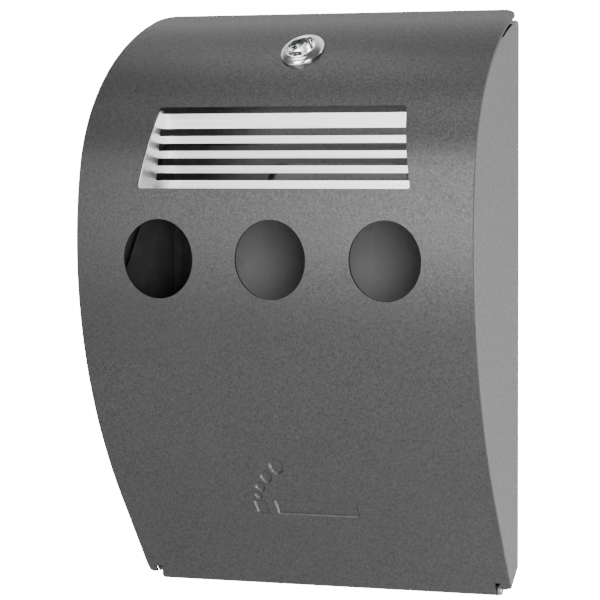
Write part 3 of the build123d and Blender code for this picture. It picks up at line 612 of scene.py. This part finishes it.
class ASHBIN_OT_cover(bpy.types.Operator):
    """Roll the curved cover with its hinge curl, press its figures and cut its openings"""

    bl_idname = "ashbin.cover"
    bl_label = "Curved cover"

    def execute(self, context):
        size = context.scene.ash_bin_cover
        rows = skin_rows(size)
        bpy.ops.object.select_all(action="DESELECT")
        bpy.ops.mesh.primitive_grid_add(x_subdivisions=size.columns, y_subdivisions=1, size=2)
        skin = start_piece("cover_skin")
        select_vertices(skin, lambda co: co.y > 0)
        bpy.ops.mesh.delete(type="VERT")
        bpy.ops.mesh.select_all(action="SELECT")
        depth, height, half, lean = rows[0]
        bpy.ops.transform.translate(value=(0, 1, 0))
        move_selected((depth, height), half)
        # the hinge tab ends on a column
        tab_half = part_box("hinge_leaf")[1].x - context.scene.ash_bin_lock.hinge_lug
        pitch = 2 * half / size.columns
        column = round(tab_half / pitch) * pitch
        for side in (-1, 1):
            select_vertices(skin, lambda co: abs(co.x - side * column) < pitch / 4)
            bpy.ops.transform.translate(value=(side * (tab_half - column), 0, 0))
        bpy.ops.mesh.select_all(action="SELECT")
        for new_depth, new_height, new_half, new_lean in rows[1:]:
            bpy.ops.mesh.extrude_edges_move()
            move_selected((new_depth - depth, new_height - height), new_half / half)
            depth, height, half = new_depth, new_height, new_half
        self.roll_curl(skin, size, rows[0], tab_half)
        self.press_figures(skin, size)
        end_piece(skin)
        if sum(face.normal.y * face.area for face in skin.data.polygons) > 0:
            bpy.ops.object.mode_set(mode="EDIT")
            bpy.ops.mesh.select_all(action="SELECT")
            bpy.ops.mesh.flip_normals()
            bpy.ops.object.mode_set(mode="OBJECT")
        wall = skin.modifiers.new("sheet", "SOLIDIFY")
        wall.thickness = size.sheet
        wall.offset = -1
        wall.use_even_offset = True
        bpy.ops.object.modifier_apply(modifier=wall.name)
        self.cut_openings(skin, size, rows, tab_half)
        round_edges(skin, 0, angle=32)
        paint(skin, "cover_powder_coat")
        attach(skin, "cover")
        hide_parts("front_cover")
        return {"FINISHED"}

    def roll_curl(self, skin, size, foot, tab_half):
        """Extend the foot between the lugs into a curl round the hinge rod."""
        low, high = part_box("hinge_rod")
        axis = Vector((-(low.y + high.y) / 2, (low.z + high.z) / 2))
        radius = (high.z - low.z) / 2 + size.rod_clearance + size.sheet
        select_vertices(skin, lambda co: abs(co.z - foot[1]) < HAIR and abs(co.x) < tab_half + HAIR)
        at = Vector(foot[:2])
        steps = 26
        for i in range(steps + 1):
            angle = -size.foot_lean - size.curl_turn * i / steps
            to = axis + Vector((math.cos(angle), math.sin(angle))) * radius
            bpy.ops.mesh.extrude_edges_move()
            move_selected(to - at)
            at = to

    def press_figures(self, skin, size):
        """Sink the cigarette and its smoke into the sheet, with sloping walls."""
        margin = size.row_height
        left, right = EMBER[0] - margin, CIGARETTE[1] + margin
        low, high = CIGARETTE[2] - margin, PUFFS[-1][1] + PUFFS[-1][2] + margin
        bpy.ops.mesh.select_all(action="DESELECT")
        bpy.ops.mesh.select_mode(type="FACE")
        bpy.ops.object.mode_set(mode="OBJECT")
        for face in skin.data.polygons:
            face.select = left < face.center.x < right and low < face.center.z < high
        bpy.ops.object.mode_set(mode="EDIT")
        bpy.ops.mesh.subdivide(number_cuts=5)
        out = heading(size.foot_lean)[0]
        levels = 6
        for i in range(levels):
            reach = ((i + 0.5) / levels - 0.5) * size.press_wall
            select_vertices(skin, lambda co: low < co.z < high and inside_figures(co.x, co.z) > reach)
            move_selected(-out * size.press_depth / levels)

    def cut_openings(self, skin, size, rows, tab_half):
        """Cut the mouths, the window, the lock's hole and the clearances at the foot."""
        deep = 0.12
        square = (math.radians(90), 0, 0)
        for x in (-size.mouth_spacing, 0, size.mouth_spacing):
            mouth = cylinder(size.mouth_radius, deep, (x, -deep, size.mouth_height), square, sides=128)
            combine(skin, mouth, "DIFFERENCE")
        # a block with the window's sloping sides and rounded corners
        middle = (size.window_low + size.window_high) / 2
        window = block((0, -deep, middle), (2, deep, size.window_high - size.window_low))
        bpy.ops.object.transform_apply(location=True, rotation=True, scale=True)
        start_piece("window_cutter")
        for level, half in ((size.window_low, size.window_half_low),
                            (size.window_high, size.window_half_high)):
            select_vertices(window, lambda co: abs(co.z - level) < 10 * HAIR)
            bpy.ops.transform.resize(value=(half, 1, 1), center_override=(0, 0, 0))
        bpy.ops.mesh.select_mode(type="EDGE")
        bpy.ops.object.mode_set(mode="OBJECT")
        for edge in window.data.edges:
            a, b = (window.data.vertices[i].co for i in edge.vertices)
            edge.select = abs(a.y - b.y) > deep / 2
        bpy.ops.object.mode_set(mode="EDIT")
        bpy.ops.mesh.bevel(offset=size.window_corner, segments=6)
        end_piece(window)
        combine(skin, window, "DIFFERENCE")
        combine(skin, placed(cylinder(size.lock_hole, 0.03), LOCK_ORIGIN, LOCK_AXIS), "DIFFERENCE")
        # clearance beside the hinge lugs, then rounded lower corners
        foot_depth, foot_z, foot_half, lean = rows[0]
        radius = size.foot_corner
        for side in (-1, 1):
            notch = block((side * (tab_half + size.notch_width / 2), -foot_depth, foot_z),
                          (size.notch_width, 2 * foot_depth, size.notch_height))
            combine(skin, notch, "DIFFERENCE")
            corner = block((side * foot_half, -foot_depth, foot_z), (2 * radius, 0.04, 2 * radius))
            round_bar = cylinder(radius, 0.06, (side * (foot_half - radius), -foot_depth, foot_z + radius),
                                 square, sides=64)
            combine(corner, round_bar, "DIFFERENCE")
            combine(skin, corner, "DIFFERENCE")


class ASHBIN_OT_lock_head(bpy.types.Operator):
    """Turn the domed lock head with its key well and threaded body"""

    bl_idname = "ashbin.lock_head"
    bl_label = "Lock head"

    def execute(self, context):
        # (radius, height above the cover) in mm: threaded body, flat under the head, dome, key well
        section = [(6.1, -14), (8.5, -14), (8.95, -13.4)] + thread(9.0, 8.55, -12.9, 1.0, 11) + [
            (9.0, -1.7), (9.0, -1.3), (11.5, -1.3), (11.5, 0.35), (11.42, 0.75), (11.15, 1.25), (10.7, 1.72),
            (10.05, 2.18), (9.25, 2.6), (8.5, 2.87), (7.85, 3.0), (7.5, 2.98), (7.28, 2.85), (7.2, 2.6),
            (7.2, -2.7), (6.95, -3.0), (6.1, -3.0)]
        head = placed(turned("lock_head", section), LOCK_ORIGIN, LOCK_AXIS)
        # its underside follows the cover's shoulder
        lock = context.scene.ash_bin_lock
        curve = lock.shoulder_radius
        shoulder = cylinder(curve, 0.05, LOCK_ORIGIN - LOCK_AXIS * curve, (0, math.radians(90), 0), sides=720)
        combine(shoulder, placed(cylinder(lock.body_clear, 0.03), LOCK_ORIGIN, LOCK_AXIS), "DIFFERENCE")
        combine(head, shoulder, "DIFFERENCE")
        round_edges(head, 0)
        paint(head, "polished_chrome")
        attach(head, "cover")
        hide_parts("lock_housing")
        return {"FINISHED"}


GRILLE_NUT = (7.0, 3.2, 2.0)   # mm: across the flats, thickness, bore radius


class ASHBIN_OT_nuts(bpy.types.Operator):
    """Make the lock's nut and the grille's four nuts and weld studs"""

    bl_idname = "ashbin.nuts"
    bl_label = "Nuts and studs"

    def execute(self, context):
        settings = context.scene.ash_bin_lock
        nut = hex_nut("lock_ring_nut", settings.lock_nut_across / MM, settings.lock_nut_height / MM, 9.0)
        corners = frame["nodes"]["lock_nut"].data.vertices
        seat = min((corner.co - LOCK_ORIGIN).dot(LOCK_AXIS) for corner in corners)
        placed(nut, LOCK_ORIGIN + LOCK_AXIS * seat, LOCK_AXIS)
        round_edges(nut, 0.15)
        paint(nut, "polished_chrome")
        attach(nut, "cover")
        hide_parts("lock_nut")
        self.fix_grille(settings)
        return {"FINISHED"}

    def fix_grille(self, settings):
        """A threaded weld stud and a nut at each of the grille's four washers."""
        washers = frame["nodes"]["grille_washers"].data
        middle = sum((v.co.z for v in washers.vertices), 0.0) / len(washers.vertices)
        model_nut = hex_nut("grille_nut_pattern", *GRILLE_NUT)
        round_edges(model_nut, 0.1)
        section = [(POLE, 0), (2.0, 0)] + thread(1.98, 1.72, 0.9, 0.6, 9) + [(1.6, 6.6), (POLE, 6.6)]
        model_stud = turned("grille_stud_pattern", section, 48)
        round_edges(model_stud, 0)
        quarters = [(side, upper) for side in (-1, 1) for upper in (False, True)]
        for number, (side, upper) in enumerate(quarters, 1):
            here = [face for face in washers.polygons
                    if face.center.x * side > 0 and (face.center.z > middle) == upper]
            out = max(here, key=lambda face: face.area).normal.copy()
            if out.y > 0:
                out = -out
            places = [washers.vertices[i].co for face in here for i in face.vertices]
            reach = [place.dot(out) for place in places]
            centre = Vector([(min(place[k] for place in places) + max(place[k] for place in places)) / 2
                             for k in range(3)])
            back = centre + out * (min(reach) - centre.dot(out))
            root = centre + out * (max(reach) - centre.dot(out) + settings.stud_root)
            nut = placed(duplicate(model_nut, f"grille_nut_{number}"), back, -out)
            stud = placed(duplicate(model_stud, f"grille_stud_{number}"), root, -out)
            for piece in (nut, stud):
                paint(piece, "zinc_plate")
                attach(piece, "cover")
            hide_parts("grille_nuts")
        bpy.data.objects.remove(model_nut)
        bpy.data.objects.remove(model_stud)


# what each carried-over part is finished with, and the parts whose cut edges are rounded
PART_FINISHES = {
    "cover_powder_coat": ("front_cover",),
    "housing_powder_coat": ("back_wrap", "side_panel_left", "side_panel_right", "hinge_leaf", "liner_rests"),
    "galvanised_sheet": ("liner_wrap", "liner_end_left", "liner_end_right"),
    "brushed_stainless": ("grille_tray",),
    "zinc_plate": ("hinge_rod", "strike_bracket", "grille_washers", "grille_nuts", "lock_washer", "lock_cam",
                   "cam_washer", "cam_screw"),
    "polished_chrome": ("lock_housing", "lock_plug", "lock_nut"),
}
ROUNDED_PARTS = ("grille_tray", "liner_wrap", "liner_end_left", "liner_end_right", "lock_plug", "lock_cam",
                 "cam_screw", "strike_bracket", "hinge_leaf", "liner_rests", "cam_washer", "lock_washer")
CUT_EDGE = 0.00015   # m


class ASHBIN_OT_sheet_metal(bpy.types.Operator):
    """Give the cover, the housing, the hinge and the liner their finishes"""

    bl_idname = "ashbin.sheet_metal"
    bl_label = "Sheet metal finishes"

    def execute(self, context):
        for name, nodes in PART_FINISHES.items():
            for node in nodes:
                paint(frame["nodes"][node], name)
        for node in ROUNDED_PARTS:
            soften(node, CUT_EDGE)
        return {"FINISHED"}


# name, turn to the right and height in degrees, distance and size in metres, power in watts
LIGHTS = (
    ("front_softbox", -12, 9, 1.3, (0.6, 0.8), 20),
    ("mouth_fill", 34, -2, 1.4, (0.35, 0.35), 13),
    ("overhead_strip", -80, 66, 1.0, (0.4, 0.1), 1.0),
    ("shoulder_fill", -25, 50, 1.2, (0.6, 0.35), 3.0),
    ("side_strip", 112, 10, 1.2, (0.15, 0.8), 4),
    ("low_card", 70, -41, 0.5, (0.25, 0.2), 3.0),
)


PURE_WHITE = 20.0   # strength at which the room itself shows as plain white


def way_to(turn, rise):
    """The direction out from the bin, turned to the right of its front and raised."""
    return Vector((math.sin(turn) * math.cos(rise), -math.cos(turn) * math.cos(rise), math.sin(rise)))


def area_light(name, place, aim, size, power):
    """A soft rectangular light that the camera doesn't see."""
    light = bpy.data.lights.new(name, "AREA")
    light.shape = "RECTANGLE"
    light.size, light.size_y = size
    light.energy = power
    lamp = bpy.data.objects.new(name, light)
    lamp.location = place
    lamp.visible_camera = False
    lamp.rotation_euler = (aim - place).to_track_quat("-Z", "Y").to_euler()
    bpy.context.scene.collection.objects.link(lamp)


class ASHBIN_OT_stage(bpy.types.Operator):
    """Add the pale floor, the soft lights and the camera"""

    bl_idname = "ashbin.stage"
    bl_label = "Floor, lights and camera"

    def execute(self, context):
        settings = context.scene.ash_bin_stage
        low, high = (Vector(c) for c in CAD_BOX)
        middle = (low + high) / 2

        bpy.ops.object.select_all(action="DESELECT")
        bpy.ops.mesh.primitive_plane_add(size=settings.floor_size, location=(0, 0, low.z - settings.floor_drop))
        floor = context.active_object
        floor.name = "floor"
        pale = bpy.data.materials.new("pale_floor")
        pale.use_nodes = True
        tree = pale.node_tree
        place = tree.nodes.new("ShaderNodeTexCoord").outputs["Object"]
        tone = add_node(tree, "ShaderNodeMapRange", Value=noise(tree, place, 3.0, 2.0), To_Min=0.78, To_Max=0.84)
        tree.links.new(tone.outputs[0], tree.nodes["Principled BSDF"].inputs["Base Color"])
        tree.nodes["Principled BSDF"].inputs["Roughness"].default_value = 0.7
        floor.data.materials.append(pale)

        # white to look at; as light, dim in front of the bin and bright behind it
        world = bpy.data.worlds.new("white_room")
        world.use_nodes = True
        tree = world.node_tree
        background = tree.nodes["Background"]
        background.inputs["Color"].default_value = (1, 1, 1, 1)
        rays = tree.nodes.new("ShaderNodeLightPath")
        sky = tree.nodes.new("ShaderNodeTexCoord").outputs["Generated"]
        toward = add_node(tree, "ShaderNodeSeparateXYZ", Vector=sky).outputs["Y"]
        backdrop = add_node(tree, "ShaderNodeMapRange", {"interpolation_type": "SMOOTHSTEP"}, Value=toward,
                            From_Min=-0.15, From_Max=0.5, To_Min=settings.room_front, To_Max=settings.room_back)
        strength = add_node(tree, "ShaderNodeMapRange", Value=rays.outputs["Is Camera Ray"], To_Max=PURE_WHITE)
        tree.links.new(backdrop.outputs[0], strength.inputs["To Min"])
        tree.links.new(strength.outputs[0], background.inputs["Strength"])
        context.scene.world = world

        for name, turn, rise, reach, size, power in LIGHTS:
            place = middle + way_to(math.radians(turn), math.radians(rise)) * reach
            area_light(name, place, middle, size, power)

        away = way_to(settings.azimuth, settings.elevation)
        aim = middle + Vector(settings.aim_shift)
        lens = bpy.data.cameras.new("camera")
        lens.lens = settings.lens
        lens.sensor_width = 36
        camera = bpy.data.objects.new("camera", lens)
        camera.location = aim + away * settings.distance
        camera.rotation_euler = (-away).to_track_quat("-Z", "Y").to_euler()
        context.scene.collection.objects.link(camera)
        context.scene.camera = camera
        return {"FINISHED"}


class ASHBIN_PT_panel(bpy.types.Panel):
    """Everything that the bin is finished with"""

    bl_idname = "ASHBIN_PT_panel"
    bl_label = "Ash Bin"
    bl_space_type = "VIEW_3D"
    bl_region_type = "UI"
    bl_category = "Ash Bin"

    def draw(self, context):
        scene = context.scene
        for settings in (scene.ash_bin_finish, scene.ash_bin_cover, scene.ash_bin_lock, scene.ash_bin_stage):
            column = self.layout.column()
            for label in settings.__annotations__:
                column.prop(settings, label)
        for step in STEPS:
            self.layout.operator(step.bl_idname)


STEPS = (ASHBIN_OT_sheet_metal, ASHBIN_OT_cover, ASHBIN_OT_lock_head, ASHBIN_OT_nuts, ASHBIN_OT_stage)
CLASSES = (FinishSettings, CoverSettings, LockSettings, StageSettings) + STEPS + (ASHBIN_PT_panel,)


def register():
    for kind in CLASSES:
        bpy.utils.register_class(kind)
    bpy.types.Scene.ash_bin_finish = PointerProperty(type=FinishSettings)
    bpy.types.Scene.ash_bin_cover = PointerProperty(type=CoverSettings)
    bpy.types.Scene.ash_bin_lock = PointerProperty(type=LockSettings)
    bpy.types.Scene.ash_bin_stage = PointerProperty(type=StageSettings)


def unregister():
    del bpy.types.Scene.ash_bin_stage
    del bpy.types.Scene.ash_bin_lock
    del bpy.types.Scene.ash_bin_cover
    del bpy.types.Scene.ash_bin_finish
    for kind in reversed(CLASSES):
        bpy.utils.unregister_class(kind)


def main():
    register()
    for step in STEPS:
        group, name = step.bl_idname.split(".")
        getattr(getattr(bpy.ops, group), name)()
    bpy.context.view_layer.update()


if __name__ == "__main__":
    main()
